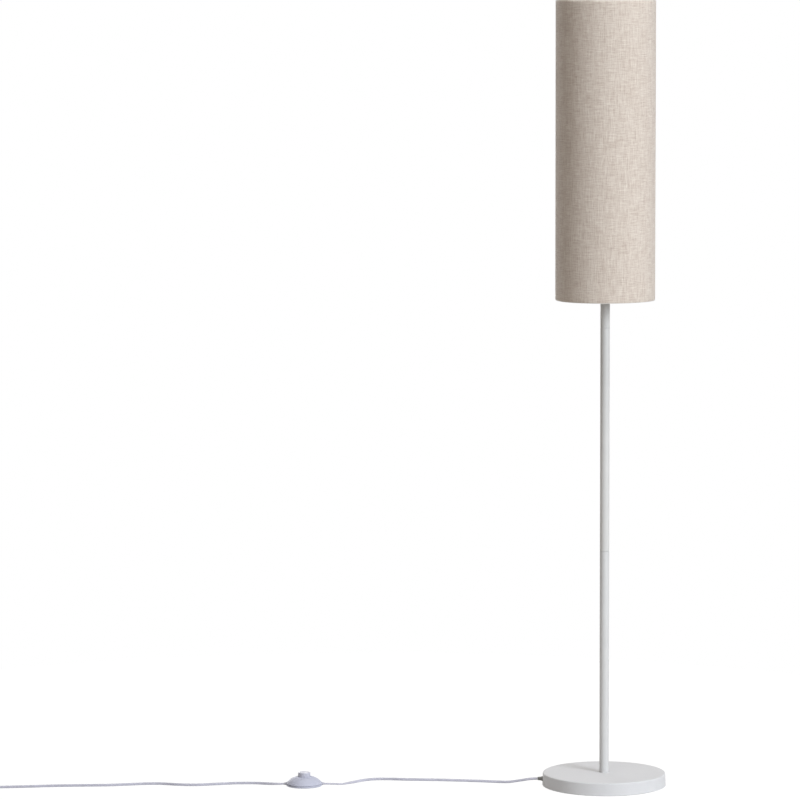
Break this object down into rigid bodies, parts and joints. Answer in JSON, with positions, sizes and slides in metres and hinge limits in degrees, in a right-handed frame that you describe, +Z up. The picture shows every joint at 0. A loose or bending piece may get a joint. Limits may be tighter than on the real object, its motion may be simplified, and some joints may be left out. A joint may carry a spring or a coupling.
{
  "type": "column floor lamp",
  "caption": "Floor lamp with a weighted round base, a slim jointed pole, a tall linen drum shade and a mains lead with a foot switch.",
  "frame": {"origin": "middle of the round base on the floor", "axes": "+Z up along the pole; the lead leaves the base towards -X"},
  "size_m": [1.4617, 0.25, 1.5861],
  "materials": {
    "cover_paint": "satin powder coat, light silver grey",
    "tube_paint": "satin powder coat, light silver grey",
    "cast_iron": "rough as cast, dipped in black paint",
    "foam_pad": "fine-celled foam, matte",
    "zinc": "bright zinc plate",
    "brass": "turned, plain",
    "bushing_rubber": "grey moulded rubber",
    "white_plastic": "moulded, fine spark texture",
    "cord_pvc": "light grey PVC sheath",
    "core_pvc": "coloured PVC",
    "ceramic": "glazed ceramic",
    "carrier_paint": "white powder coat",
    "liner": "white self-extinguishing film",
    "linen": "plain-woven linen with slubs",
    "bulb_metal": "bright nickel plate",
    "black_glass": "black glass",
    "bulb_plastic": "white, smooth",
    "board": "white solder mask",
    "opal": "opal, satin",
    "switch_plastic": "light grey moulding, fine texture",
    "button_plastic": "light grey moulding, smooth",
    "dark_plastic": "phenolic moulding",
    "spring_steel": "drawn wire",
    "foot_rubber": "soft rubber",
    "relief_rubber": "light grey rubber",
    "tie_plastic": "hook-and-loop strap",
    "plug_plastic": "light grey moulding"
  },
  "bodies": {
    "lamp": {"base_cover": "cover_paint", "base_weight": "cast_iron", "base_pad": "foam_pad", "base_washer": "zinc", "base_lock_washer": "zinc", "base_nut": "zinc", "base_nipple": "brass", "cord_bushing": "bushing_rubber", "cord_clamp": "white_plastic", "clamp_screws": "zinc", "inner_cord": "cord_pvc", "inner_cores": "core_pvc", "lower_tube": "tube_paint", "upper_tube": "tube_paint", "top_tube": "tube_paint", "tube_inserts": "zinc", "tube_nipples": "brass", "holder_nipple": "brass", "holder_cap": "white_plastic", "cap_grub_screw": "zinc", "holder_skirt": "white_plastic", "holder_insert": "ceramic", "holder_terminals": "brass", "terminal_screws": "zinc", "holder_contact": "brass", "holder_sleeve": "brass", "shade_ring": "white_plastic", "carrier_plate": "carrier_paint", "carrier_arms": "carrier_paint", "bottom_ring": "carrier_paint", "top_ring": "carrier_paint", "shade_liner": "liner", "shade_fabric": "linen", "switch_tray": "switch_plastic", "switch_cover": "switch_plastic", "switch_spring": "spring_steel", "switch_module": "dark_plastic", "switch_terminals": "brass", "switch_screws": "zinc", "switch_feet": "foot_rubber", "switch_reliefs": "relief_rubber", "switch_cord_ends": "cord_pvc", "cord_to_switch": "cord_pvc", "cord_to_plug": "cord_pvc", "cord_coil": "cord_pvc", "coil_tie": "tie_plastic", "plug_body": "plug_plastic", "plug_pins": "bulb_metal"},
    "button": {"switch_button": "button_plastic"},
    "bulb_contact": {"bulb_tip": "bulb_metal"},
    "bulb": {"bulb_insulator": "black_glass", "bulb_screw_shell": "bulb_metal", "bulb_housing": "bulb_plastic", "bulb_board": "board", "bulb_dome": "opal"}
  },
  "joints": [
    {"name": "button_press", "type": "slide", "parent": "lamp", "child": "button", "axis": [0, 0, -1], "range_m": [0, 0.004], "stiffness_N_per_m": 1200, "springref_m": -0.003, "deforming": ["switch_spring"]},
    {"name": "bulb_lift", "type": "slide", "parent": "lamp", "child": "bulb_contact", "axis": [0, 0, 1], "range_m": [0, 0.0109]},
    {"name": "bulb_turn", "type": "hinge", "parent": "bulb_contact", "child": "bulb", "pos_m": [0, 0, 1.1484], "axis": [0, 0, 1], "range_deg": [0, 1080]}
  ],
  "couplings": [
    {"joint": "bulb_lift", "follows": "bulb_turn", "m_per_rad": 0.00057775}
  ]
}
